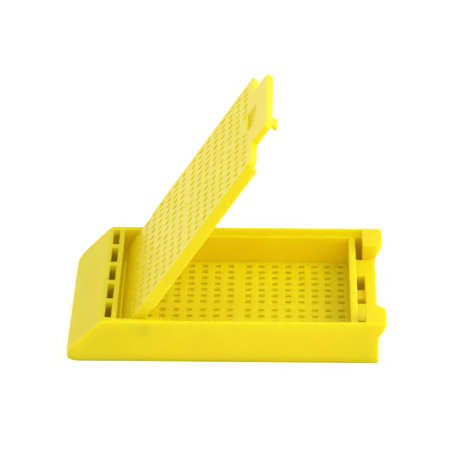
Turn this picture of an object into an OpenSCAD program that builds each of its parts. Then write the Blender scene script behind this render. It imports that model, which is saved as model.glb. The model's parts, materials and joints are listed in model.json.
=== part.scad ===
// Tissue cassette: a perforated tray with a writing slope, and a perforated lid.
// The lid swings on two side pins near the slope and latches behind the specimen compartment.
// +X runs from the writing slope to the ears, +Z is up, and the origin is under the middle.

/* [Overall] */
// Length from the front edge to the back of the ears
overall_length = 41; // [36:0.1:50]
// Width across the side walls
overall_width = 28.5; // [25:0.1:34]
// Height from the table to the rim of the base
base_height = 5.7; // [5.3:0.1:7]

/* [Base shell] */
// Thickness of the perforated floor
floor_t = 1.0; // [0.8:0.05:1.2]
// Thickness of the side walls below the ledge
side_wall = 1.0; // [0.9:0.05:1.3]
// Thickness of the rim beside the lid
rim_t = 0.5; // [0.4:0.05:0.6]
// Drop from the rim to the ledge that carries the lid
ledge_drop = 1.0; // [0.8:0.05:1.2]
// Thickness of the wall between the slope and the compartment
front_wall = 0.65; // [0.4:0.05:0.75]
// Thickness of the wall behind the compartment
partition_t = 0.9; // [0.7:0.05:1.1]
// Radius of the two front corners, seen from above
front_corner_r = 1.6; // [1:0.1:2.5]

/* [Writing slope] */
// Height of the upright front edge
nose_height = 1.2; // [1:0.1:1.6]
// Length of the slope, seen from above
slope_run = 4.5; // [4:0.1:5.5]
// Radius that blends the slope into the rim
slope_blend_r = 1.8; // [1:0.1:3]
// Length from the front edge to the compartment
front_length = 6.4; // [6.2:0.1:8]
// Thickness of the slope and of the shelf above it
slope_skin = 1.0; // [0.8:0.05:1.2]
// Number of slots through the shelf
slot_count = 5; // [3:1:7]
// Width of each shelf slot
slot_width = 0.85; // [0.7:0.05:0.9]
// Web between two shelf slots
slot_web = 1.0; // [0.8:0.1:1.6]
// Web between the last slot and the outside of the side wall
slot_margin = 1.25; // [1.1:0.05:2]
// Thickness of the ribs under the slope
rib_t = 0.7; // [0.5:0.05:0.9]

/* [Back end] */
// Distance that the ears stand out behind the back wall
ear_overhang = 1.0; // [0.5:0.1:1.5]
// Length of the ears, front to back
ear_length = 2.7; // [2.4:0.1:3.2]
// Height of the upright back face of the ears
ear_face = 0.65; // [0.4:0.05:1]
// Height of the bevel under the ears
ear_bevel = 1.5; // [1:0.1:2]
// Size of the cut at the inner back corner of each ear
ear_cut = 0.8; // [0.5:0.05:1.2]
// Radius of the outer back corner of each ear
ear_corner_r = 0.5; // [0.3:0.1:1]
// Width of the slots in front of the ears
ear_slot = 0.9; // [0.8:0.05:1.1]
// Gap between the lid's tab and each ear
ear_gap = 0.85; // [0.5:0.05:1.2]
// Drop from the rim to the top of the back wall between the ears
middle_drop = 2.2; // [1.8:0.1:2.6]
// Wall left around the hollows in the back end
back_skin = 0.8; // [0.6:0.05:1]

/* [Perforations] */
// Side of each square hole
hole = 0.8; // [0.6:0.05:1.2]
// Distance from hole to hole
pitch = 1.773; // [1.6:0.001:2.2]
// Distance between the two middle columns
middle_column_gap = 2.41; // [2:0.01:3]
// Distance between the two middle rows
middle_row_gap = 2.36; // [2:0.01:3]
// Least land between a hole and a wall
hole_land = 0.3; // [0.2:0.05:0.8]
// Side of the corner pads that have no holes
corner_pad = 4.0; // [3:0.1:5]

/* [Lid] */
// Thickness of the lid's plate
lid_t = 0.9; // [0.7:0.05:1.2]
// Depth of the lid's edge, from its top face to the foot of the skirt
lid_edge = 1.55; // [1.3:0.05:1.8]
// Thickness of the skirt
skirt_t = 0.9; // [0.6:0.05:1]
// Gap between the lid and the rim on each side
lid_gap = 0.1; // [0.05:0.01:0.2]
// Gap under the closed lid's skirt
seat_gap = 0.05; // [0.03:0.01:0.1]
// Gap between the narrow front of the lid and the side walls
neck_gap = 0.3; // [0.2:0.05:0.5]
// Length of the step where the lid widens
neck_step = 1.4; // [1:0.1:2]
// Distance from the pivot to the start of that step
neck_length = 2.4; // [2.2:0.1:3.5]
// Distance that the lid's shoulders stop short of the slots at the ears
shoulder_gap = 0.15; // [0.1:0.05:0.4]
// Radius of the lid's back corners
shoulder_r = 0.8; // [0.4:0.1:1.5]
// Distance that the skirt stops short of the shoulders
skirt_end = 0.9; // [0.5:0.1:2]
// Width of the finger tab
tab_width = 16.3; // [12:0.1:18]
// Distance that the tab stops short of the back of the ears
tab_inset = 0.3; // [0:0.05:1]
// Chamfer on the tab's corners
tab_chamfer = 0.6; // [0.3:0.05:1]
// Radius of the moulding gate's dimple in the middle of the lid
gate_r = 0.45; // [0.3:0.05:0.5]
// Depth of that dimple
gate_depth = 0.15; // [0.1:0.05:0.3]

/* [Hinge] */
// Distance from the compartment's front wall to the pivot
pivot_back = 3.5; // [3.3:0.05:3.8]
// Drop from the rim to the pivot
pivot_drop = 1.3; // [1.2:0.05:1.5]
// Gap between the lid's front end and the compartment's front wall
end_gap = 0.15; // [0.1:0.01:0.3]
// Diameter of the lid's pins
pin_d = 1.2; // [1:0.05:1.4]
// Radial clearance of the pins in their sockets
pin_gap = 0.05; // [0.03:0.01:0.1]
// Depth of the sockets in the side walls
socket_depth = 0.55; // [0.4:0.05:0.6]
// Depth of the groove that leads each pin down to its socket
lead_depth = 0.2; // [0.1:0.05:0.3]
// Thickness of the lugs that carry the pins
lug_t = 0.5; // [0.4:0.05:0.6]
// Wall of the lugs around the pins
lug_rim = 0.6; // [0.4:0.05:0.8]

/* [Latch] */
// Width of the latch tongue
tongue_width = 2.6; // [2:0.1:4]
// Thickness of the latch tongue
tongue_t = 0.65; // [0.5:0.05:0.7]
// Depth of the tongue below the lid's top face
tongue_depth = 3.3; // [2.8:0.1:3.6]
// Radius of the bead on the tongue, and of the bead on the wall that it clicks past
bead_r = 0.1; // [0.05:0.01:0.12]
// Height of the wall's bead above the closed tongue's bead
bead_rise = 0.3; // [0.25:0.05:0.4]
// Gap around the tongue
tongue_gap = 0.25; // [0.2:0.01:0.4]
// Gap between the closed tongue's tip and the web below it
web_gap = 0.2; // [0.1:0.05:0.3]
// Width of the openings on both sides of the tongue
latch_opening = 2.8; // [2:0.1:3.5]
// Length of the pocket in the lid above the tongue, side to side
pocket_length = 5.4; // [4:0.1:7]
// Width of that pocket, front to back
pocket_width = 1.8; // [1.2:0.1:2]
// Depth of that pocket
pocket_depth = 0.4; // [0.2:0.05:0.5]

/* [Pose] */
// Angle of the lid above its closed position
lid_open = 56; // [0:1:124]

/* [Hidden] */
$fn = 48;
over = 0.5;                                    // cutters run this far past a face
arc_steps = 8;                                 // straight steps in each drawn arc
half_l = overall_length / 2;
half_w = overall_width / 2;
inner_w = half_w - side_wall;                  // half the width between the side walls

// heights
ledge_z = base_height - ledge_drop;
middle_z = base_height - middle_drop;
pivot_z = base_height - pivot_drop;
skirt_z = ledge_z + seat_gap;
lid_top = skirt_z + lid_edge;
lid_under = lid_top - lid_t;
tongue_tip = lid_top - tongue_depth;
web_z = tongue_tip - web_gap;

// stations along X
front_x = -half_l;
slope_end_x = front_x + slope_run;
compartment_x = front_x + front_length;
slot_x = compartment_x - front_wall - slot_width;
pivot_x = compartment_x + pivot_back;
back_x = half_l - ear_overhang;                // outer face of the back wall
ear_x = half_l - ear_length;                   // front edge of the ears
partition_back_x = ear_x - ear_slot;
partition_x = partition_back_x - partition_t;
tongue_x = partition_back_x + tongue_gap;
latch_slot = tongue_t + tongue_gap * 2;        // the openings at the tongue, front to back
shoulder_x = partition_back_x - shoulder_gap;
lid_middle_x = (compartment_x + end_gap + shoulder_x) / 2;
neck_x = pivot_x + neck_length;

// half widths
rebate_w = half_w - rim_t;
lid_w = rebate_w - lid_gap;
neck_w = inner_w - neck_gap;
ear_w = tab_width / 2 + ear_gap;               // half the space between the ears
end_r = pivot_back - end_gap;                  // round front end of the lid, about the pivot
rebate_step = neck_step * (rebate_w - inner_w) / (lid_w - neck_w);
root = lid_t / 2;                              // what stands under the plate reaches this far in

// perforation grid: how many columns fit in each half, and rows before and behind the middle
first_hole_x = pivot_x - pin_d;
columns = floor((inner_w - hole_land * 2 - (middle_column_gap + hole) / 2) / pitch) + 1;
rows_back = floor((partition_x - hole_land - lid_middle_x - (middle_row_gap + hole) / 2) / pitch) + 1;
rows_front = floor((lid_middle_x - (middle_row_gap + hole) / 2 - first_hole_x) / pitch) + 1;

function column_y(i) = middle_column_gap / 2 + i * pitch;
function back_row_x(i) = lid_middle_x + middle_row_gap / 2 + i * pitch;
function front_row_x(i) = lid_middle_x - middle_row_gap / 2 - i * pitch;
function arc(x, y, r, from, to) =
    [for (i = [0:arc_steps]) let (a = from + (to - from) * i / arc_steps) [x + r * cos(a), y + r * sin(a)]];

// A shape drawn with X across and Z up, extruded across the width
module across(width) {
    translate([0, width / 2, 0]) rotate([90, 0, 0]) linear_extrude(width) children();
}

module both_sides() {
    for (flip = [0, 1]) mirror([0, flip, 0]) children();
}

module square_hole(x, y) {
    translate([x - hole / 2, y - hole / 2]) square(hole);
}

// All the square holes in one half; the pads at the front corners stay solid if asked
module hole_grid(pads) {
    both_sides() for (c = [0:columns - 1]) {
        for (r = [0:rows_back - 1])
            if (!(r == rows_back - 1 && column_y(c) < pocket_length / 2))
                square_hole(back_row_x(r), column_y(c));
        for (r = [0:rows_front - 1])
            if (!(pads && on_pad(front_row_x(r), column_y(c))))
                square_hole(front_row_x(r), column_y(c));
    }
}

function on_pad(x, y) = x - hole / 2 < pivot_x + corner_pad / 2 && y + hole / 2 > inner_w - corner_pad;

// ---------------------------------------------------------------- base

slope_angle = atan((base_height - nose_height) / slope_run);

// Outline of the base seen from above, with round front corners
module base_plan() {
    translate([front_x + front_corner_r, -half_w])
        square([back_x - front_x - front_corner_r, overall_width]);
    translate([front_x, -half_w + front_corner_r])
        square([front_corner_r * 2, overall_width - front_corner_r * 2]);
    both_sides() translate([front_x + front_corner_r, half_w - front_corner_r]) circle(front_corner_r);
}

// Side view of the base: upright nose, slope, blend and level rim
module base_profile() {
    blend_x = slope_end_x + slope_blend_r * tan(slope_angle / 2);
    polygon(concat(
        [[front_x, 0], [front_x, nose_height]],
        arc(blend_x, base_height - slope_blend_r, slope_blend_r, 90 + slope_angle, 90),
        [[back_x, base_height], [back_x, 0]]));
}

// Hollow under the slope and the shelf, open below
module slope_hollow() {
    drop = slope_skin / cos(slope_angle);
    top_z = base_height - slope_skin;
    nose_x = front_x + slope_skin;
    function under(x) = nose_height - drop + (x - front_x) * tan(slope_angle);
    top_x = front_x + (top_z + drop - nose_height) / tan(slope_angle);
    polygon([[nose_x, -over], [nose_x, under(nose_x)], [top_x, top_z],
        [compartment_x - front_wall, top_z], [compartment_x - front_wall, -over]]);
}

slot_length = (overall_width - slot_margin * 2 - slot_web * (slot_count - 1)) / slot_count;
slot_pitch = slot_length + slot_web;

function slot_y(i) = (i - (slot_count - 1) / 2) * slot_pitch;

module slope_ribs() {
    intersection() {
        across(inner_w * 2) slope_hollow();
        for (i = [0:slot_count - 2])
            translate([front_x, (slot_y(i) + slot_y(i + 1) - rib_t) / 2, 0])
                cube([front_length, rib_t, base_height]);
    }
}

module shelf_slots() {
    for (i = [0:slot_count - 1])
        translate([slot_x, slot_y(i) - slot_length / 2, base_height - slope_skin - over])
            cube([slot_width, slot_length, slope_skin + over * 2]);
}

// Space for the specimen, and the wider step above it that takes the lid
module compartment() {
    translate([compartment_x, -inner_w, floor_t])
        cube([partition_x - compartment_x, inner_w * 2, base_height]);
    translate([0, 0, ledge_z]) linear_extrude(base_height) {
        translate([compartment_x, -inner_w]) square([ear_x - compartment_x, inner_w * 2]);
        polygon([
            [neck_x, -inner_w], [neck_x + rebate_step, -rebate_w], [ear_x, -rebate_w],
            [ear_x, rebate_w], [neck_x + rebate_step, rebate_w], [neck_x, inner_w]]);
    }
}

// Outline of one ear seen from above, cut at its inner back corner
module ear_plan() {
    polygon(concat(
        [[ear_x, ear_w], [half_l - ear_cut, ear_w], [half_l, ear_w + ear_cut]],
        arc(half_l - ear_corner_r, half_w - ear_corner_r, ear_corner_r, 0, 90),
        [[ear_x, half_w]]));
}

// One ear, bevelled below to meet the back wall
module ear() {
    foot_z = middle_z - over;
    face_z = base_height - ear_face;
    intersection() {
        linear_extrude(base_height) ear_plan();
        across(overall_width)
            polygon([[ear_x, foot_z], [ear_x, base_height], [half_l, base_height],
                [half_l, face_z], [back_x, face_z - ear_bevel], [back_x, foot_z]]);
    }
}

// Everything cut out of the back end: the space between the ears, slots, latch and hollows
module back_cuts() {
    latch_in = tongue_width / 2;
    latch_out = latch_in + latch_opening;
    // space between the ears, down to the top of the back wall
    translate([partition_back_x, -ear_w, middle_z]) cube([overall_length, ear_w * 2, base_height]);
    // slots in front of the ears, right through
    both_sides() translate([partition_back_x, ear_w, -over])
        cube([ear_slot, inner_w - ear_w, base_height + over * 2]);
    // openings on both sides of the tongue, right through, and the tongue's own seat
    both_sides() translate([partition_back_x, latch_in, -over])
        cube([latch_slot, latch_opening, base_height]);
    translate([partition_back_x, -latch_in - over, web_z])
        cube([latch_slot, tongue_width + over * 2, base_height]);
    // hollows from below
    both_sides() translate([partition_back_x, latch_out + back_skin, -over])
        cube([back_x - back_skin - partition_back_x, ear_w - latch_out - back_skin * 2,
            middle_z - back_skin + over]);
}

// Socket for a pin, with the shallow groove that leads down to it
module socket() {
    translate([pivot_x, inner_w + socket_depth, pivot_z]) rotate([90, 0, 0])
        cylinder(d = pin_d + pin_gap * 2, h = socket_depth + over);
    translate([pivot_x - pin_d / 2, inner_w - over, pivot_z])
        cube([pin_d, over + lead_depth, base_height]);
}

module base() color("gold") {
    difference() {
        union() {
            intersection() {
                linear_extrude(base_height) base_plan();
                across(overall_width) base_profile();
            }
            both_sides() ear();
        }
        difference() {
            across(inner_w * 2) slope_hollow();
            slope_ribs();
        }
        shelf_slots();
        compartment();
        back_cuts();
        both_sides() socket();
        translate([0, 0, -over]) linear_extrude(floor_t + over * 2) hole_grid(true);
    }
    // bead on the back of the partition that the tongue clicks past
    translate([partition_back_x, tongue_width / 2, tongue_tip + bead_r + bead_rise]) rotate([90, 0, 0])
        cylinder(r = bead_r, h = tongue_width);
}

// ---------------------------------------------------------------- lid, drawn closed

tab_x = half_l - tab_inset;

// Outline of the lid seen from above: narrow front, step, shoulders and finger tab
module lid_plan() {
    half = concat(
        [[compartment_x, neck_w], [neck_x, neck_w], [neck_x + neck_step, lid_w]],
        arc(shoulder_x - shoulder_r, lid_w - shoulder_r, shoulder_r, 90, 0),
        [[shoulder_x, tab_width / 2], [tab_x - tab_chamfer, tab_width / 2],
            [tab_x, tab_width / 2 - tab_chamfer]]);
    polygon(concat(half, [for (i = [len(half) - 1:-1:0]) [half[i][0], -half[i][1]]]));
}

// Skirt down both long sides
module skirt() {
    end_x = shoulder_x - skirt_end;
    both_sides() {
        polygon([[compartment_x, neck_w - lug_t], [neck_x, neck_w - lug_t],
            [neck_x + neck_step, lid_w - skirt_t], [end_x, lid_w - skirt_t], [end_x, lid_w],
            [neck_x + neck_step, lid_w], [neck_x, neck_w], [compartment_x, neck_w]]);
    }
}

// Lug on the inside of the skirt, with its pin
module lug() {
    lug_r = pin_d / 2 + lug_rim;
    pin_end = inner_w + socket_depth - lid_gap;
    translate([pivot_x, neck_w, pivot_z]) rotate([90, 0, 0]) cylinder(r = lug_r, h = lug_t);
    translate([pivot_x - lug_r, neck_w - lug_t, pivot_z])
        cube([lug_r * 2, lug_t, lid_under - pivot_z + root]);
    translate([pivot_x, pin_end, pivot_z]) rotate([90, 0, 0])
        cylinder(d = pin_d, h = pin_end - neck_w + lug_t / 2);
}

// Keeps what lies behind the pivot, or within the round front end
module round_front() {
    across(overall_width) {
        translate([pivot_x, pivot_z]) circle(end_r);
        translate([pivot_x, 0]) square([overall_length, base_height * 2]);
    }
}

module tongue() {
    translate([tongue_x, -tongue_width / 2, tongue_tip])
        cube([tongue_t, tongue_width, lid_under - tongue_tip + root]);
    translate([tongue_x, tongue_width / 2, tongue_tip + bead_r]) rotate([90, 0, 0])
        cylinder(r = bead_r, h = tongue_width);
}

// Pocket over the tongue, with one end ramped
module pocket() {
    pocket_x = tongue_x + tongue_t / 2 - pocket_width;
    translate([pocket_x, 0, lid_top]) rotate([90, 0, 90]) linear_extrude(pocket_width)
        polygon([[-pocket_length / 2, over], [-pocket_length / 2, -pocket_depth],
            [pocket_length / 2 - pocket_depth * 2, -pocket_depth],
            [pocket_length / 2, 0], [pocket_length / 2, over]]);
}

module closed_lid() {
    difference() {
        union() {
            intersection() {
                union() {
                    translate([0, 0, lid_under]) linear_extrude(lid_t) lid_plan();
                    translate([0, 0, skirt_z]) linear_extrude(lid_edge) skirt();
                }
                round_front();
            }
            both_sides() lug();
            tongue();
        }
        translate([0, 0, lid_under - over]) linear_extrude(lid_t + over * 2) hole_grid(false);
        pocket();
        translate([lid_middle_x, 0, lid_top - gate_depth]) cylinder(r = gate_r, h = over);
    }
}

module lid() color("yellow") {
    translate([pivot_x, 0, pivot_z]) rotate([0, -lid_open, 0]) translate([-pivot_x, 0, -pivot_z])
        closed_lid();
}

base();
lid();
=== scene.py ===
import json
import math

import bmesh
import bpy
from mathutils import Matrix, Vector


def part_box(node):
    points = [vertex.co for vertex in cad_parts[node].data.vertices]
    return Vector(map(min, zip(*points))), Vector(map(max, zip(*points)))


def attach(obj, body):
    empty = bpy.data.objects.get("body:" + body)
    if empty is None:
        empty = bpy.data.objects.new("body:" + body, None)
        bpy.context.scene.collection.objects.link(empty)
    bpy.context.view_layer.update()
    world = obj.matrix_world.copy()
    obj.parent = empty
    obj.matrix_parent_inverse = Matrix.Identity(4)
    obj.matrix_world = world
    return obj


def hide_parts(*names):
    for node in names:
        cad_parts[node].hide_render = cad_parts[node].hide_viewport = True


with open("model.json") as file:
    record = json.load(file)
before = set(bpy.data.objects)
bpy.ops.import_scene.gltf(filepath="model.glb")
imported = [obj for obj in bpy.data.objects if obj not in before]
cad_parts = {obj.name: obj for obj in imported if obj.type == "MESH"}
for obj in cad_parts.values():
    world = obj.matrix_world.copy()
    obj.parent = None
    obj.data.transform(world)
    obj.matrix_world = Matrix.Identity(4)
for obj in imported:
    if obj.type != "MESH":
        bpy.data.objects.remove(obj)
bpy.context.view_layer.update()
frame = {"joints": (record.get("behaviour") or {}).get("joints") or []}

# Tissue cassette, moulded in yellow acetal: a perforated tray with a writing slope, and a
# perforated lid on two side pins. Lengths are in millimetres until a finished piece is scaled
# to metres. +X runs from the writing slope to the ears, +Z is up.
MM = 0.001
SCENE = bpy.context.scene
BASE_LOW, BASE_HIGH = (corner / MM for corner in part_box("base"))
HINGE = frame["joints"][0]
PIVOT = Vector(HINGE["pos_m"]) / MM
LID_OPEN = -HINGE["range_deg"][0]        # the lid's angle at rest, above its closed position

# ---------------------------------------------------------------- sizes

# base shell
FLOOR_T = 1.0
SIDE_WALL = 1.0
RIM_T = 0.5
LEDGE_DROP = 1.0
FRONT_WALL = 0.65
PARTITION_T = 0.9
FRONT_CORNER_R = 1.6

# writing slope
NOSE_HEIGHT = 1.2
SLOPE_RUN = 4.5
SLOPE_BLEND_R = 1.8
FRONT_LENGTH = 6.4
SLOPE_SKIN = 1.0
SLOT_COUNT = 5
SLOT_WIDTH = 0.85
SLOT_WEB = 1.0
SLOT_MARGIN = 1.25
RIB_T = 0.7

# back end
EAR_OVERHANG = 1.0
EAR_LENGTH = 2.7
EAR_FACE = 0.65
EAR_BEVEL = 1.55                         # 0.05 more than the solid's, to end level with the middle
EAR_CUT = 0.8
EAR_CORNER_R = 0.5
EAR_SLOT = 0.9
EAR_GAP = 0.85
MIDDLE_DROP = 2.2
BACK_SKIN = 0.8

# perforations
HOLE = 0.8
PITCH = 1.773
MIDDLE_COLUMN_GAP = 2.41
MIDDLE_ROW_GAP = 2.36
HOLE_LAND = 0.3
CORNER_PAD = 4.0

# lid
LID_T = 0.9
LID_EDGE = 1.55
SKIRT_T = 0.9
LID_GAP = 0.1
SEAT_GAP = 0.05
NECK_GAP = 0.3
NECK_STEP = 1.4
NECK_LENGTH = 2.4
SHOULDER_GAP = 0.15
SHOULDER_R = 0.8
SKIRT_END = 0.95                         # 0.05 more than the solid's, to leave room for its rounding
TAB_WIDTH = 16.3
TAB_INSET = 0.3
TAB_CHAMFER = 0.6
GATE_R = 0.45
GATE_DEPTH = 0.15
GATE_STUB_R = 0.18

# hinge and latch
PIVOT_BACK = 3.5
END_GAP = 0.15
PIN_D = 1.2
PIN_GAP = 0.05
SOCKET_DEPTH = 0.55
LEAD_DEPTH = 0.2
LUG_T = 0.5
LUG_RIM = 0.6
TONGUE_WIDTH = 2.6
TONGUE_T = 0.65
TONGUE_DEPTH = 3.3
TONGUE_GAP = 0.25
BEAD_R = 0.1
BEAD_RISE = 0.3
BEAD_INSET = 0.15                        # the solid's bead has none; keeps its ends off rounded edges
WEB_GAP = 0.2
LATCH_OPENING = 2.8
POCKET_LENGTH = 5.4
POCKET_WIDTH = 1.8
POCKET_DEPTH = 0.4

# finish of the moulding
EDGE_R = 0.12
OUTLINE_EDGE_R = 0.25
MOUTH_R = 0.05
EDGE_STEPS = 3
ARC_STEPS = 12
ROUNDED_FROM = math.radians(30)          # edges that turn less than this are left as they are
SHARP_FROM = math.radians(35)            # faces that meet at less than this shade as one
OVER = 0.5                               # cutters run this far past a face
NEAR = 0.01                              # points this close count as touching

# ---------------------------------------------------------------- stations

HALF_W = BASE_HIGH.y
INNER_W = HALF_W - SIDE_WALL
REBATE_W = HALF_W - RIM_T
LID_W = REBATE_W - LID_GAP
NECK_W = INNER_W - NECK_GAP
EAR_W = TAB_WIDTH / 2 + EAR_GAP

RIM_Z = BASE_HIGH.z
LEDGE_Z = RIM_Z - LEDGE_DROP
MIDDLE_Z = RIM_Z - MIDDLE_DROP
SHELF_UNDER_Z = RIM_Z - SLOPE_SKIN
SKIRT_Z = LEDGE_Z + SEAT_GAP
LID_TOP = SKIRT_Z + LID_EDGE
LID_UNDER = LID_TOP - LID_T
TONGUE_TIP = LID_TOP - TONGUE_DEPTH
WEB_Z = TONGUE_TIP - WEB_GAP

FRONT_X = BASE_LOW.x
END_X = BASE_HIGH.x
SLOPE_END_X = FRONT_X + SLOPE_RUN
COMPARTMENT_X = FRONT_X + FRONT_LENGTH
SHELF_END_X = COMPARTMENT_X - FRONT_WALL
SLOT_X = SHELF_END_X - SLOT_WIDTH
BACK_X = END_X - EAR_OVERHANG
EAR_X = END_X - EAR_LENGTH
PARTITION_BACK_X = EAR_X - EAR_SLOT
PARTITION_X = PARTITION_BACK_X - PARTITION_T
TONGUE_X = PARTITION_BACK_X + TONGUE_GAP
LATCH_SLOT = TONGUE_T + TONGUE_GAP * 2
SHOULDER_X = PARTITION_BACK_X - SHOULDER_GAP
TAB_X = END_X - TAB_INSET
NECK_X = PIVOT.x + NECK_LENGTH
LID_MIDDLE_X = (COMPARTMENT_X + END_GAP + SHOULDER_X) / 2
SLOPE_ANGLE = math.atan2(RIM_Z - NOSE_HEIGHT, SLOPE_RUN)
SLOT_LENGTH = (HALF_W * 2 - SLOT_MARGIN * 2 - SLOT_WEB * (SLOT_COUNT - 1)) / SLOT_COUNT
SLOT_PITCH = SLOT_LENGTH + SLOT_WEB

COLUMNS = int((INNER_W - HOLE_LAND * 2 - (MIDDLE_COLUMN_GAP + HOLE) / 2) // PITCH) + 1
ROWS_BACK = int((PARTITION_X - HOLE_LAND - LID_MIDDLE_X - (MIDDLE_ROW_GAP + HOLE) / 2) // PITCH) + 1
ROWS_FRONT = int((LID_MIDDLE_X - (MIDDLE_ROW_GAP + HOLE) / 2 - PIVOT.x + PIN_D) // PITCH) + 1

# ---------------------------------------------------------------- solids


def arc(x, y, r, start, end, steps=ARC_STEPS):
    """Points along an arc, from one angle to another, in degrees."""
    turns = (math.radians(start + (end - start) * i / steps) for i in range(steps + 1))
    return [(x + r * math.cos(a), y + r * math.sin(a)) for a in turns]


def both_sides(outline):
    """An outline's half on the +Y side, closed by its mirror image."""
    return outline + [(x, -y) for x, y in reversed(outline)]


def loft(rings, along="Z"):
    """A closed solid through outlines of as many points, each at its own station on one axis."""
    to_3d = {
        "Z": lambda a, b, t: (a, b, t),
        "Y": lambda a, b, t: (a, t, b),
        "X": lambda a, b, t: (t, a, b),
    }[along]
    mesh = bmesh.new()
    loops = [[mesh.verts.new(to_3d(a, b, t)) for a, b in outline] for outline, t in rings]
    mesh.faces.new(loops[0])
    mesh.faces.new(loops[-1][::-1])
    for near, far in zip(loops, loops[1:]):
        for i in range(len(near)):
            mesh.faces.new((near[i], near[i - 1], far[i - 1], far[i]))
    bmesh.ops.recalc_face_normals(mesh, faces=mesh.faces)
    return as_object(mesh)


def prism(outline, low, high, along="Z"):
    """A closed solid: an outline drawn across one axis and drawn out along it."""
    return loft([(outline, low), (outline, high)], along)


def block(x, y, z):
    """A box between two stations on each axis."""
    (x0, x1), (y0, y1), (z0, z1) = (sorted(pair) for pair in (x, y, z))
    return prism([(x0, y0), (x1, y0), (x1, y1), (x0, y1)], z0, z1)


def pin(x, z, r, y, steps=48):
    """A round pin across the part."""
    ring = arc(x, z, r, 0, 360, steps)[:-1]
    return prism(ring, min(y), max(y), "Y")


def rounded_rectangle(half_x, half_y, r):
    """Outline with round corners, about the origin."""
    corners = ((half_x - r, half_y - r, 0), (r - half_x, half_y - r, 90),
               (r - half_x, r - half_y, 180), (half_x - r, r - half_y, 270))
    return [point for x, y, a in corners for point in arc(x, y, r, a, a + 90, EDGE_STEPS)]


def punch(size_x, size_y, low, high, flare_low=True):
    """Cutter for a hole through a plate from low to high, which leaves its mouths rounded."""
    turns = [math.radians(90 * i / EDGE_STEPS) for i in range(EDGE_STEPS + 1)]
    mouth = [(MOUTH_R * (1 - math.sin(a)), MOUTH_R * (1 - math.cos(a))) for a in turns]
    levels = [(low - OVER, MOUTH_R), *((low + depth, wider) for wider, depth in mouth)]
    if not flare_low:
        levels = [(low - OVER, 0)]
    levels += [(high - depth, wider) for wider, depth in mouth[::-1]]
    levels.append((high + OVER, MOUTH_R))
    return loft([(rounded_rectangle(size_x / 2 + wider, size_y / 2 + wider, EDGE_R + wider), z)
                 for z, wider in levels])


def as_object(mesh):
    data = bpy.data.meshes.new("solid")
    mesh.to_mesh(data)
    mesh.free()
    solid = bpy.data.objects.new("solid", data)
    SCENE.collection.objects.link(solid)
    return solid


def settle(solid):
    """Turns an object with its modifiers into one plain mesh."""
    graph = bpy.context.evaluated_depsgraph_get()
    data = bpy.data.meshes.new_from_object(solid.evaluated_get(graph))
    solid.modifiers.clear()
    solid.data = data
    return solid


def combine(solid, others, operation):
    """Adds, cuts or intersects solids, and removes those that were used."""
    for other in others:
        step = solid.modifiers.new(operation.lower(), "BOOLEAN")
        step.operation = operation
        step.solver = "MANIFOLD"
        step.object = other
    settle(solid)
    for other in others:
        bpy.data.objects.remove(other)
    return solid


def join(solid, *others):
    return combine(solid, others, "UNION")


def cut(solid, *others):
    return combine(solid, others, "DIFFERENCE")


def keep(solid, *others):
    return combine(solid, others, "INTERSECT")


def round_edges(solid, radius_at=lambda edge: EDGE_R):
    """Rounds every sharp edge as a mould does, inside and outside, each to its own radius."""
    mesh = bmesh.new()
    mesh.from_mesh(solid.data)
    share = mesh.edges.layers.float.new("bevel_weight_edge")
    for edge in mesh.edges:
        if edge.calc_face_angle() > ROUNDED_FROM:
            edge[share] = radius_at(edge) / OUTLINE_EDGE_R
    mesh.to_mesh(solid.data)
    mesh.free()
    edges = solid.modifiers.new("edges", "BEVEL")
    edges.width = OUTLINE_EDGE_R
    edges.segments = EDGE_STEPS
    edges.limit_method = "WEIGHT"
    edges.use_clamp_overlap = False
    edges.loop_slide = False
    return settle(solid)


def on_outline(point):
    """Whether a point is on the outside of the base in plan, above its foot."""
    r = EAR_CORNER_R if point.x > 0 else FRONT_CORNER_R
    past_x = abs(point.x) - (END_X - r)
    past_y = abs(point.y) - (HALF_W - r)
    reach = math.hypot(past_x, past_y) if min(past_x, past_y) > 0 else max(past_x, past_y)
    return reach > r - NEAR and point.z > NEAR


def base_edge_radius(edge):
    """The outer edges of the base are rounded more than the rest."""
    return OUTLINE_EDGE_R if all(on_outline(end.co) for end in edge.verts) else EDGE_R


# ---------------------------------------------------------------- base


def base_shell():
    """Tray blank: side view with the slope, trimmed to the outline with its round corners."""
    blend_x = SLOPE_END_X + SLOPE_BLEND_R * math.tan(SLOPE_ANGLE / 2)
    blend = arc(blend_x, RIM_Z - SLOPE_BLEND_R, SLOPE_BLEND_R, 90 + math.degrees(SLOPE_ANGLE), 90)
    side = [(FRONT_X, 0), (FRONT_X, NOSE_HEIGHT)] + blend + [(BACK_X, RIM_Z), (BACK_X, 0)]
    corner = arc(FRONT_X + FRONT_CORNER_R, HALF_W - FRONT_CORNER_R, FRONT_CORNER_R, 90, 180)
    plan = both_sides([(BACK_X + OVER, HALF_W)] + corner)
    return keep(prism(side, -HALF_W, HALF_W, "Y"), prism(plan, -OVER, RIM_Z + OVER))


def ear(side):
    """One ear, bevelled below to meet the back wall."""
    foot_z = MIDDLE_Z - OVER
    face_z = RIM_Z - EAR_FACE
    profile = [(EAR_X, foot_z), (EAR_X, RIM_Z), (END_X, RIM_Z), (END_X, face_z),
               (BACK_X, face_z - EAR_BEVEL), (BACK_X, foot_z)]
    plan = [(EAR_X, EAR_W), (END_X - EAR_CUT, EAR_W), (END_X, EAR_W + EAR_CUT)]
    plan += arc(END_X - EAR_CORNER_R, HALF_W - EAR_CORNER_R, EAR_CORNER_R, 0, 90)
    plan += [(EAR_X, HALF_W)]
    outline = [(x, side * y) for x, y in plan]
    return keep(prism(profile, -HALF_W, HALF_W, "Y"), prism(outline, 0, RIM_Z + OVER))


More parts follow.
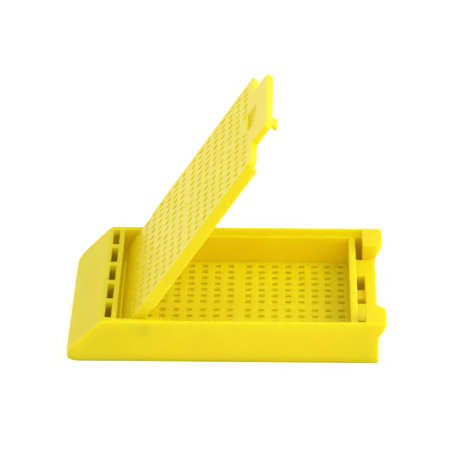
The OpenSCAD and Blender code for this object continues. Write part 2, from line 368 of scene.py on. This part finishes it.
def slope_hollows():
    """Hollows under the slope and the shelf, with a rib between each two."""
    rise = math.tan(SLOPE_ANGLE)
    nose_x = FRONT_X + SLOPE_SKIN
    under_nose = NOSE_HEIGHT - SLOPE_SKIN / math.cos(SLOPE_ANGLE)
    top_x = FRONT_X + (SHELF_UNDER_Z - under_nose) / rise
    hollow = [(nose_x, -OVER), (nose_x, under_nose + SLOPE_SKIN * rise), (top_x, SHELF_UNDER_Z),
              (SHELF_END_X, SHELF_UNDER_Z), (SHELF_END_X, -OVER)]
    edges = [-INNER_W]
    for i in range(1, SLOT_COUNT):
        rib_y = (i - SLOT_COUNT / 2) * SLOT_PITCH
        edges += [rib_y - RIB_T / 2, rib_y + RIB_T / 2]
    edges.append(INNER_W)
    return [prism(hollow, low, high, "Y") for low, high in zip(edges[::2], edges[1::2])]


def compartment_cuts():
    """Space for the specimen, and the wider step above it that takes the lid."""
    step_end_x = NECK_X + NECK_STEP * (REBATE_W - INNER_W) / (LID_W - NECK_W)
    above = RIM_Z + OVER
    widening = both_sides([(NECK_X, INNER_W), (step_end_x, REBATE_W), (EAR_X, REBATE_W)])
    return [
        block((COMPARTMENT_X, PARTITION_X), (-INNER_W, INNER_W), (FLOOR_T, above)),
        block((COMPARTMENT_X, EAR_X), (-INNER_W, INNER_W), (LEDGE_Z, above)),
        prism(widening, LEDGE_Z, above),
    ]


def back_cuts():
    """Space between the ears, slots in front of them, the latch openings and the hollows below."""
    latch_in = TONGUE_WIDTH / 2
    latch_out = latch_in + LATCH_OPENING
    latch_x = (PARTITION_BACK_X, PARTITION_BACK_X + LATCH_SLOT)
    above = RIM_Z + OVER
    cuts = [
        block((PARTITION_BACK_X, END_X + OVER), (-EAR_W, EAR_W), (MIDDLE_Z, above)),
        block(latch_x, (-latch_in - OVER, latch_in + OVER), (WEB_Z, above)),
    ]
    for side in (1, -1):
        cuts += [
            block((PARTITION_BACK_X, EAR_X), (side * EAR_W, side * INNER_W), (-OVER, above)),
            block(latch_x, (side * latch_in, side * latch_out), (-OVER, above)),
            block((PARTITION_BACK_X, BACK_X - BACK_SKIN),
                  (side * (latch_out + BACK_SKIN), side * (EAR_W - BACK_SKIN)),
                  (-OVER, MIDDLE_Z - BACK_SKIN)),
        ]
    return cuts


def socket_cuts():
    """Sockets for the pins, each with the shallow groove that leads down to it."""
    cuts = []
    for side in (1, -1):
        inside = side * (INNER_W - OVER)
        cuts += [
            pin(PIVOT.x, PIVOT.z, PIN_D / 2 + PIN_GAP, (inside, side * (INNER_W + SOCKET_DEPTH))),
            block((PIVOT.x - PIN_D / 2, PIVOT.x + PIN_D / 2),
                  (inside, side * (INNER_W + LEAD_DEPTH)), (PIVOT.z, RIM_Z + OVER)),
        ]
    return cuts


def latch_bead(x, z):
    """Small round bead across the latch."""
    half = TONGUE_WIDTH / 2 - BEAD_INSET
    return pin(x, z, BEAD_R, (-half, half), ARC_STEPS)


def base_blank():
    blank = join(base_shell(), ear(1), ear(-1))
    cut(blank, *slope_hollows(), *compartment_cuts(), *back_cuts())
    round_edges(blank, base_edge_radius)
    cut(blank, *socket_cuts())
    return join(blank, latch_bead(PARTITION_BACK_X, TONGUE_TIP + BEAD_R + BEAD_RISE))


# ---------------------------------------------------------------- lid, made closed


def lid_plate():
    """Plate with its narrow front, step, shoulders and finger tab, and the skirt under it."""
    shoulder = arc(SHOULDER_X - SHOULDER_R, LID_W - SHOULDER_R, SHOULDER_R, 90, 0)
    plan = [(COMPARTMENT_X, NECK_W), (NECK_X, NECK_W), (NECK_X + NECK_STEP, LID_W)]
    plan += shoulder + [(SHOULDER_X, TAB_WIDTH / 2), (TAB_X - TAB_CHAMFER, TAB_WIDTH / 2),
                        (TAB_X, TAB_WIDTH / 2 - TAB_CHAMFER)]
    skirt_end_x = SHOULDER_X - SKIRT_END
    skirt = [(COMPARTMENT_X, NECK_W - LUG_T), (NECK_X, NECK_W - LUG_T),
             (NECK_X + NECK_STEP, LID_W - SKIRT_T), (skirt_end_x, LID_W - SKIRT_T),
             (skirt_end_x, LID_W), (NECK_X + NECK_STEP, LID_W), (NECK_X, NECK_W),
             (COMPARTMENT_X, NECK_W)]
    plate = prism(both_sides(plan), LID_UNDER, LID_TOP)
    for side in (1, -1):
        join(plate, prism([(x, side * y) for x, y in skirt], SKIRT_Z, LID_TOP))
    return plate


def round_front(plate):
    """Trims the front end to a round about the pivot, so that it swings clear of the shelf."""
    end_r = PIVOT_BACK - END_GAP
    above = LID_TOP + OVER
    side = [(END_X, PIVOT.z - end_r), (END_X, above), (PIVOT.x, above)]
    side += arc(PIVOT.x, PIVOT.z, end_r, 90, 270, ARC_STEPS * 3)
    return keep(plate, prism(side, -HALF_W, HALF_W, "Y"))


def lug(side):
    """Lug on the inside of the skirt, with its pin."""
    lug_r = PIN_D / 2 + LUG_RIM
    outside = side * NECK_W
    inside = side * (NECK_W - LUG_T)
    pin_end = side * (INNER_W + SOCKET_DEPTH - LID_GAP)
    top = LID_UNDER + LID_T / 2
    outline = arc(PIVOT.x, PIVOT.z, lug_r, 180, 360, ARC_STEPS * 2)
    outline += [(PIVOT.x + lug_r, top), (PIVOT.x - lug_r, top)]
    return join(prism(outline, min(inside, outside), max(inside, outside), "Y"),
                pin(PIVOT.x, PIVOT.z, PIN_D / 2, (outside - side * LUG_T / 2, pin_end)))


def tongue():
    half = TONGUE_WIDTH / 2
    return block((TONGUE_X, TONGUE_X + TONGUE_T), (-half, half), (TONGUE_TIP, LID_UNDER + LID_T / 2))


def pocket():
    """Pocket over the tongue, with one end ramped."""
    end_x = TONGUE_X + TONGUE_T / 2
    half = POCKET_LENGTH / 2
    outline = [(-half, LID_TOP + OVER), (-half, LID_TOP - POCKET_DEPTH),
               (half - POCKET_DEPTH * 2, LID_TOP - POCKET_DEPTH), (half, LID_TOP),
               (half, LID_TOP + OVER)]
    return prism(outline, end_x - POCKET_WIDTH, end_x, "X")


def gate_ring(r):
    return arc(LID_MIDDLE_X, 0, r, 0, 360, ARC_STEPS * 2)[:-1]


def gate_dimple():
    """Dimple that the moulding gate leaves in the middle of the lid."""
    return loft([(gate_ring(GATE_R - EDGE_R), LID_TOP - GATE_DEPTH), (gate_ring(GATE_R), LID_TOP),
                 (gate_ring(GATE_R), LID_TOP + OVER)])


def gate_stub():
    """Stub of plastic where the gate broke off, in the dimple."""
    return loft([(gate_ring(GATE_STUB_R), LID_TOP - GATE_DEPTH * 2),
                 (gate_ring(GATE_STUB_R), LID_TOP - GATE_DEPTH / 2),
                 (gate_ring(GATE_STUB_R / 2), LID_TOP - GATE_DEPTH / 4)])


def lid_blank():
    blank = join(round_front(lid_plate()), lug(1), lug(-1), tongue())
    cut(blank, pocket())
    round_edges(blank)
    cut(blank, gate_dimple())
    return join(blank, gate_stub(), latch_bead(TONGUE_X, TONGUE_TIP + BEAD_R))


# ---------------------------------------------------------------- node trees


class Nodes:
    """Adds nodes to a tree, with sockets or plain values as their inputs."""

    def __init__(self, tree):
        self.tree = tree

    def add(self, kind, inputs=None, **settings):
        node = self.tree.nodes.new(kind)
        for name, value in settings.items():
            setattr(node, name, value)
        for name, value in (inputs or {}).items():
            self.feed(node.inputs[name], value)
        return node

    def feed(self, socket, value):
        if isinstance(value, bpy.types.NodeSocket):
            self.tree.links.new(value, socket)
        else:
            socket.default_value = value

    def noise(self, place, scale, detail):
        node = self.add("ShaderNodeTexNoise", {"Vector": place, "Scale": scale, "Detail": detail})
        return node.outputs[0]

    def span(self, value, low, high, start=0.0, end=1.0):
        """Maps low..high to start..end, and holds it there outside that."""
        node = self.add("ShaderNodeMapRange", {
            "Value": value, "From Min": low, "From Max": high, "To Min": start, "To Max": end})
        return node.outputs[0]

    def blend(self, share, first, second):
        """Colour between two."""
        node = self.add("ShaderNodeMix", {0: share, 6: first, 7: second}, data_type="RGBA")
        return node.outputs[2]

    def math(self, operation, *values):
        node = self.add("ShaderNodeMath", {i: v for i, v in enumerate(values)}, operation=operation)
        return node.outputs[0]

    def both(self, first, second):
        return self.add("FunctionNodeBooleanMath", {0: first, 1: second}, operation="AND").outputs[0]

    def compare(self, operation, a, b):
        return self.add("FunctionNodeCompare", {"A": a, "B": b}, operation=operation,
                        data_type="FLOAT").outputs[0]


def mirrored_station(n, index, half_count, pitch, middle_gap):
    """Station of a hole counted from the far side, with a wider gap in the middle."""
    count = n.math("ADD", n.math("SUBTRACT", index, half_count), 0.5)
    steps = n.math("SUBTRACT", n.math("ABSOLUTE", count), 0.5)
    reach = n.math("MULTIPLY_ADD", steps, pitch, n.math("DIVIDE", middle_gap, 2.0))
    return n.math("MULTIPLY", reach, n.math("SIGN", count))


def new_tree(name, sockets):
    """A node tree with named inputs, and the sockets that carry what is given to it."""
    tree = bpy.data.node_groups.new(name, "GeometryNodeTree")
    common = [("Geometry", "Geometry"), ("Punch", "Object"), ("Material", "Material")]
    for socket, kind in common + sockets:
        tree.interface.new_socket(socket, in_out="INPUT", socket_type="NodeSocket" + kind)
    tree.interface.new_socket("Geometry", in_out="OUTPUT", socket_type="NodeSocketGeometry")
    n = Nodes(tree)
    return tree, n, n.add("NodeGroupInput").outputs


def pierce(n, given, spots):
    """Ends a tree: a punch at each spot, all cut from the given mesh at once."""
    tool = n.add("GeometryNodeObjectInfo", {"Object": given["Punch"], "As Instance": True})
    punches = n.add("GeometryNodeInstanceOnPoints",
                    {"Points": spots, "Instance": tool.outputs["Geometry"]})
    solid = n.add("GeometryNodeRealizeInstances", {"Geometry": punches.outputs[0]})
    pierced = n.add("GeometryNodeMeshBoolean", {"Mesh 1": given["Geometry"]},
                    operation="DIFFERENCE", solver="MANIFOLD")
    n.feed(pierced.inputs["Mesh 2"], solid.outputs[0])
    plain = n.add("GeometryNodeRealizeInstances", {"Geometry": pierced.outputs[0]})
    finished = n.add("GeometryNodeSetMaterial",
                     {"Geometry": plain.outputs[0], "Material": given["Material"]})
    n.add("NodeGroupOutput", {"Geometry": finished.outputs[0]})


def row_tree():
    """A centred row of holes across the part."""
    tree, n, given = new_tree("row_of_slots", [("Count", "Int"), ("Pitch", "Float"), ("X", "Float")])
    reach = n.math("MULTIPLY", n.math("SUBTRACT", given["Count"], 1.0), given["Pitch"])
    start_y = n.math("DIVIDE", reach, -2.0)
    spots = n.add("GeometryNodeMeshLine", {
        "Count": given["Count"],
        "Start Location": n.add("ShaderNodeCombineXYZ", {"X": given["X"], "Y": start_y}).outputs[0],
        "Offset": n.add("ShaderNodeCombineXYZ", {"Y": given["Pitch"]}).outputs[0]})
    pierce(n, given, spots.outputs[0])
    return tree


def lattice_tree():
    """Rows and columns of holes, mirrored about a wider gap in the middle both ways."""
    tree, n, given = new_tree("lattice_of_holes", [
        ("Side", "Float"), ("Pitch", "Float"), ("Middle X", "Float"),
        ("Middle Row Gap", "Float"), ("Middle Column Gap", "Float"),
        ("Rows Front", "Int"), ("Rows Back", "Int"), ("Columns", "Int"),
        ("Pad X", "Float"), ("Pad Y", "Float"), ("Pocket Y", "Float")])
    rows = n.math("ADD", given["Rows Front"], given["Rows Back"])
    columns = n.math("MULTIPLY", given["Columns"], 2.0)
    spots = n.add("GeometryNodePoints", {"Count": n.math("MULTIPLY", rows, columns)})
    index = n.add("GeometryNodeInputIndex").outputs[0]
    row = n.math("FLOOR", n.math("DIVIDE", n.math("ADD", index, 0.5), columns))
    column = n.math("FLOORED_MODULO", index, columns)
    x = n.math("ADD", given["Middle X"], mirrored_station(
        n, row, given["Rows Front"], given["Pitch"], given["Middle Row Gap"]))
    y = mirrored_station(n, column, given["Columns"], given["Pitch"], given["Middle Column Gap"])
    place = n.add("ShaderNodeCombineXYZ", {"X": x, "Y": y}).outputs[0]

    # no holes in the pads at the front corners, nor under the pocket in the last row
    half_side = n.math("DIVIDE", given["Side"], 2.0)
    off_middle = n.math("ABSOLUTE", y)
    on_pad = n.both(
        n.compare("LESS_THAN", n.math("SUBTRACT", x, half_side), given["Pad X"]),
        n.compare("GREATER_THAN", n.math("ADD", off_middle, half_side), given["Pad Y"]))
    under_pocket = n.both(
        n.compare("GREATER_THAN", row, n.math("SUBTRACT", rows, 1.5)),
        n.compare("LESS_THAN", off_middle, given["Pocket Y"]))
    placed = n.add("GeometryNodeSetPosition", {"Geometry": spots.outputs[0], "Position": place})
    fewer = n.add("GeometryNodeDeleteGeometry", {"Geometry": placed.outputs[0], "Selection": on_pad})
    kept = n.add("GeometryNodeDeleteGeometry",
                 {"Geometry": fewer.outputs[0], "Selection": under_pocket})
    pierce(n, given, kept.outputs[0])
    return tree


def run_tree(piece, tree, tool, material, values):
    """Runs a tree on a piece with these inputs, and removes the punch."""
    step = piece.modifiers.new(tree.name, "NODES")
    step.node_group = tree
    values = {"Punch": tool, "Material": material, **values}
    for socket in tree.interface.items_tree:
        if socket.in_out == "INPUT" and socket.name in values:
            step[socket.identifier] = values[socket.name]
    settle(piece)
    bpy.data.objects.remove(tool)
    return piece


def perforate(piece, material, low, high, pad_x):
    """The lattice of square holes through a plate from low to high."""
    return run_tree(piece, LATTICE, punch(HOLE, HOLE, low, high), material, {
        "Side": HOLE, "Pitch": PITCH, "Middle X": LID_MIDDLE_X,
        "Middle Row Gap": MIDDLE_ROW_GAP, "Middle Column Gap": MIDDLE_COLUMN_GAP,
        "Rows Front": ROWS_FRONT, "Rows Back": ROWS_BACK, "Columns": COLUMNS,
        "Pad X": pad_x, "Pad Y": INNER_W - CORNER_PAD, "Pocket Y": POCKET_LENGTH / 2})


def slot_shelf(piece, material):
    """The row of slots through the shelf behind the writing slope."""
    tool = punch(SLOT_WIDTH, SLOT_LENGTH, SHELF_UNDER_Z, RIM_Z, flare_low=False)
    return run_tree(piece, ROW, tool, material, {
        "Count": SLOT_COUNT, "Pitch": SLOT_PITCH, "X": SLOT_X + SLOT_WIDTH / 2})


def finish_piece(piece, name):
    """Evens the shading, and scales the piece to metres."""
    for face in piece.data.polygons:
        face.use_smooth = True
    piece.data.set_sharp_from_angle(angle=SHARP_FROM)
    even = piece.modifiers.new("even_shading", "WEIGHTED_NORMAL")
    even.keep_sharp = True
    even.weight = 100
    settle(piece)
    piece.data.transform(Matrix.Scale(MM, 4))
    piece.name = name
    piece.data.name = name
    return piece


# ---------------------------------------------------------------- materials

DEEP_YELLOW = (0.86, 0.69, 0.0006, 1)
CLEAR_YELLOW = (0.89, 0.72, 0.0015, 1)
CLOUD_SCALE = 0.16                       # pattern scales are turns of noise in each millimetre
STREAK_SCALE = 7.0                       # turns of noise round the gate
PEEL_SCALE = 0.9
GRAIN_SCALE = 6.0
PEEL_DEPTH = 0.006                       # in millimetres
GRAIN_DEPTH = 0.004
STREAK_DRIFT = 0.02                      # change of a streak for each millimetre from the gate
CLOUD_SHARE = 0.6                        # of the clouds in the tone, and the rest is streaks
TONE_SPAN = (0.35, 0.65)                 # where the tone goes from the deep to the clear yellow
GLOSS_SPAN = (0.3, 0.7)
ROUGHNESS = (0.34, 0.42)                 # least and most
SLOPE_ROUGHER = 0.12                     # added on the writing slope
SLOPE_GRAIN = 3                          # times the grain's depth, added on the writing slope
ACETAL_IOR = 1.48
ACETAL_SPECULAR = 0.25
GLOW_RADIUS = (1.0, 1.0, 0.3)            # how far red, green and blue light spreads, as shares
GLOW_DEPTH = 1.6                         # in millimetres
SLOPE_NEAR = (0.15, 0.05)                # below the slope's plane, in millimetres, from 0 to 1
SLOPE_FADE = 0.4                         # in millimetres, at the slope's upper end


def plastic_space(n, gate, opened):
    """Coordinates in millimetres from a moulding's gate, with the moulding turned shut."""
    shut = Matrix.Rotation(math.radians(opened), 4, "Y")
    offset = PIVOT - shut @ PIVOT - Vector(gate)
    place = n.add("ShaderNodeTexCoord").outputs["Object"]
    return n.add("ShaderNodeMapping", {
        "Vector": place, "Location": offset, "Rotation": shut.to_euler(),
        "Scale": (1 / MM, 1 / MM, 1 / MM)}).outputs[0]


def flow_marks(n, place):
    """Streaks that run out from the gate, as the pigment was drawn along, from 0 to 1."""
    direction = n.add("ShaderNodeVectorMath", {0: place}, operation="NORMALIZE").outputs[0]
    drift = n.add("ShaderNodeVectorMath", {0: place, "Scale": STREAK_DRIFT}, operation="SCALE").outputs[0]
    along = n.add("ShaderNodeVectorMath", {0: direction, 1: drift}, operation="ADD").outputs[0]
    return n.noise(along, STREAK_SCALE / 2, detail=4.0)


def acetal(name, gate, opened=0, writing_slope=False):
    """Yellow acetal: satin, a little translucent, with clouded pigment and a fine moulded grain."""
    material = bpy.data.materials.new(name)
    material.use_nodes = True
    n = Nodes(material.node_tree)
    shader = material.node_tree.nodes["Principled BSDF"]
    place = plastic_space(n, gate, opened)

    cloud = n.noise(place, CLOUD_SCALE, detail=3.0)
    streak = flow_marks(n, place)
    tone = n.math("ADD", n.math("MULTIPLY", cloud, CLOUD_SHARE),
                  n.math("MULTIPLY", streak, 1 - CLOUD_SHARE))
    colour = n.blend(n.span(tone, *TONE_SPAN), DEEP_YELLOW, CLEAR_YELLOW)
    n.feed(shader.inputs["Base Color"], colour)

    grain = n.noise(place, GRAIN_SCALE, detail=2.0)
    peel = n.noise(place, PEEL_SCALE, detail=1.0)
    height = n.math("ADD", n.math("MULTIPLY", grain, GRAIN_DEPTH), n.math("MULTIPLY", peel, PEEL_DEPTH))
    gloss = n.span(n.noise(place, PEEL_SCALE / 2, detail=3.0), *GLOSS_SPAN, *ROUGHNESS)
    if writing_slope:
        matte = matte_slope(n)
        rough = n.math("MULTIPLY", n.math("MULTIPLY", grain, matte), SLOPE_GRAIN * GRAIN_DEPTH)
        height = n.math("ADD", height, rough)
        gloss = n.math("ADD", gloss, n.math("MULTIPLY", matte, SLOPE_ROUGHER))
    n.feed(shader.inputs["Roughness"], gloss)
    bump = n.add("ShaderNodeBump", {"Height": height, "Distance": MM, "Strength": 1.0})
    n.feed(shader.inputs["Normal"], bump.outputs[0])

    shader.inputs["IOR"].default_value = ACETAL_IOR
    shader.inputs["Specular IOR Level"].default_value = ACETAL_SPECULAR
    shader.inputs["Subsurface Weight"].default_value = 1.0
    shader.inputs["Subsurface Radius"].default_value = GLOW_RADIUS
    shader.inputs["Subsurface Scale"].default_value = GLOW_DEPTH * MM
    return material


def matte_slope(n):
    """1 on the writing slope, which is left matte to take a pencil, and 0 elsewhere."""
    place = n.add("ShaderNodeTexCoord").outputs["Object"]
    axes = n.add("ShaderNodeSeparateXYZ", {"Vector": place}).outputs
    above = n.math("SUBTRACT", axes["Z"], n.math("MULTIPLY_ADD", axes["X"], math.tan(SLOPE_ANGLE),
                   (NOSE_HEIGHT - FRONT_X * math.tan(SLOPE_ANGLE)) * MM))
    on_plane = n.span(above, -SLOPE_NEAR[0] * MM, -SLOPE_NEAR[1] * MM)
    below_end = n.span(axes["X"], SLOPE_END_X * MM, (SLOPE_END_X - SLOPE_FADE) * MM)
    return n.math("MULTIPLY", on_plane, below_end)


FLOOR_GREY = (0.85, 0.85, 0.85, 1)
FLOOR_ROUGHNESS = 0.9
LOOK_WHITE_TO = math.radians(5)          # the surroundings look white up to this height
LOOK_DIM_FROM = math.radians(20)         # and dim from this height on


def seen_directly(n):
    """1 for what the camera, a gloss or glass sees, and 0 for the light that the object gets."""
    path = n.add("ShaderNodeLightPath").outputs
    seen = n.math("ADD", path["Is Camera Ray"], path["Is Glossy Ray"])
    return n.math("MINIMUM", n.math("ADD", seen, path["Is Transmission Ray"]), 1.0)


def pale_floor(name, lift):
    """Pale floor that keeps the shadow, and is white where it is seen in full light."""
    material = bpy.data.materials.new(name)
    material.use_nodes = True
    n = Nodes(material.node_tree)
    shader = material.node_tree.nodes["Principled BSDF"]
    shader.inputs["Base Color"].default_value = FLOOR_GREY
    shader.inputs["Roughness"].default_value = FLOOR_ROUGHNESS
    shader.inputs["Emission Color"].default_value = (1, 1, 1, 1)
    n.feed(shader.inputs["Emission Strength"], n.math("MULTIPLY", seen_directly(n), lift))
    return material


def white_studio(name, light, overhead):
    """World that lights evenly, and looks white low down and dimmer overhead."""
    world = bpy.data.worlds.new(name)
    world.use_nodes = True
    n = Nodes(world.node_tree)
    sky = world.node_tree.nodes["Background"]
    sky.inputs["Color"].default_value = (1, 1, 1, 1)
    direction = n.add("ShaderNodeTexCoord").outputs["Object"]
    height = n.add("ShaderNodeSeparateXYZ", {"Vector": direction}).outputs["Z"]
    look = n.span(height, math.sin(LOOK_WHITE_TO), math.sin(LOOK_DIM_FROM), 1.0, overhead)
    n.feed(sky.inputs["Strength"], n.span(seen_directly(n), 0.0, 1.0, light, look))
    return world


# ---------------------------------------------------------------- pieces

BASE_ACETAL = acetal("base_acetal", (LID_MIDDLE_X, 0, 0), writing_slope=True)
LID_ACETAL = acetal("lid_acetal", (LID_MIDDLE_X, 0, LID_TOP), LID_OPEN)
LATTICE = lattice_tree()
ROW = row_tree()

base = base_blank()
slot_shelf(base, BASE_ACETAL)
perforate(base, BASE_ACETAL, 0, FLOOR_T, PIVOT.x + CORNER_PAD / 2)
finish_piece(base, "cassette_base")

lid = lid_blank()
perforate(lid, LID_ACETAL, LID_UNDER, LID_TOP, FRONT_X)
lid.data.transform(Matrix.Translation(PIVOT) @ Matrix.Rotation(math.radians(-LID_OPEN), 4, "Y")
                   @ Matrix.Translation(-PIVOT))
finish_piece(lid, "cassette_lid")

for piece, body, node in ((base, "base", "base"), (lid, "lid", "lid")):
    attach(piece, body)
    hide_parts(node)

# ---------------------------------------------------------------- camera, light and floor

FLOOR_SIZE = 1.5                         # half its width, and all lengths here are in metres
FLOOR_LIFT = 0.35
WORLD_LIGHT = 0.85
OVERHEAD = 0.1
LAMP_SIZE = 0.4
LAMP_AIM = (0, 0, 0.01)
KEY_PLACE = (-0.15, -0.33, 0.55)
KEY_WATTS = 0.15
FILL_PLACE = (0.45, -0.1, 0.4)
FILL_WATTS = 1.6
CAMERA_LENS = 262
CAMERA_SENSOR = 36
CAMERA_DISTANCE = 0.427
CAMERA_HEIGHT_ANGLE = 25.3
CAMERA_TURN = 1.1
CAMERA_AIM = (-0.0004, 0, 0.0127)
camera_data = bpy.data.cameras.new("camera")
camera_data.lens = CAMERA_LENS
camera_data.sensor_width = CAMERA_SENSOR
camera = bpy.data.objects.new("camera", camera_data)
SCENE.collection.objects.link(camera)
SCENE.camera = camera
target = Vector(CAMERA_AIM)
up = math.radians(CAMERA_HEIGHT_ANGLE)
turn = math.radians(CAMERA_TURN)
away = Vector((math.sin(turn) * math.cos(up), -math.cos(turn) * math.cos(up), math.sin(up)))
camera.location = target + away * CAMERA_DISTANCE
camera.rotation_euler = away.to_track_quat("Z", "Y").to_euler()

floor_mesh = bmesh.new()
bmesh.ops.create_grid(floor_mesh, x_segments=1, y_segments=1, size=FLOOR_SIZE)
floor = as_object(floor_mesh)
floor.name = "floor"
floor.data.materials.append(pale_floor("pale_floor", FLOOR_LIFT))


def area_light(name, place, watts):
    data = bpy.data.lights.new(name, "AREA")
    data.size = LAMP_SIZE
    data.energy = watts
    light = bpy.data.objects.new(name, data)
    light.location = place
    light.rotation_euler = (Vector(place) - Vector(LAMP_AIM)).to_track_quat("Z", "Y").to_euler()
    SCENE.collection.objects.link(light)


area_light("key", KEY_PLACE, KEY_WATTS)
area_light("fill", FILL_PLACE, FILL_WATTS)
SCENE.world = white_studio("studio", WORLD_LIGHT, OVERHEAD)
SCENE.view_settings.view_transform = "Standard"
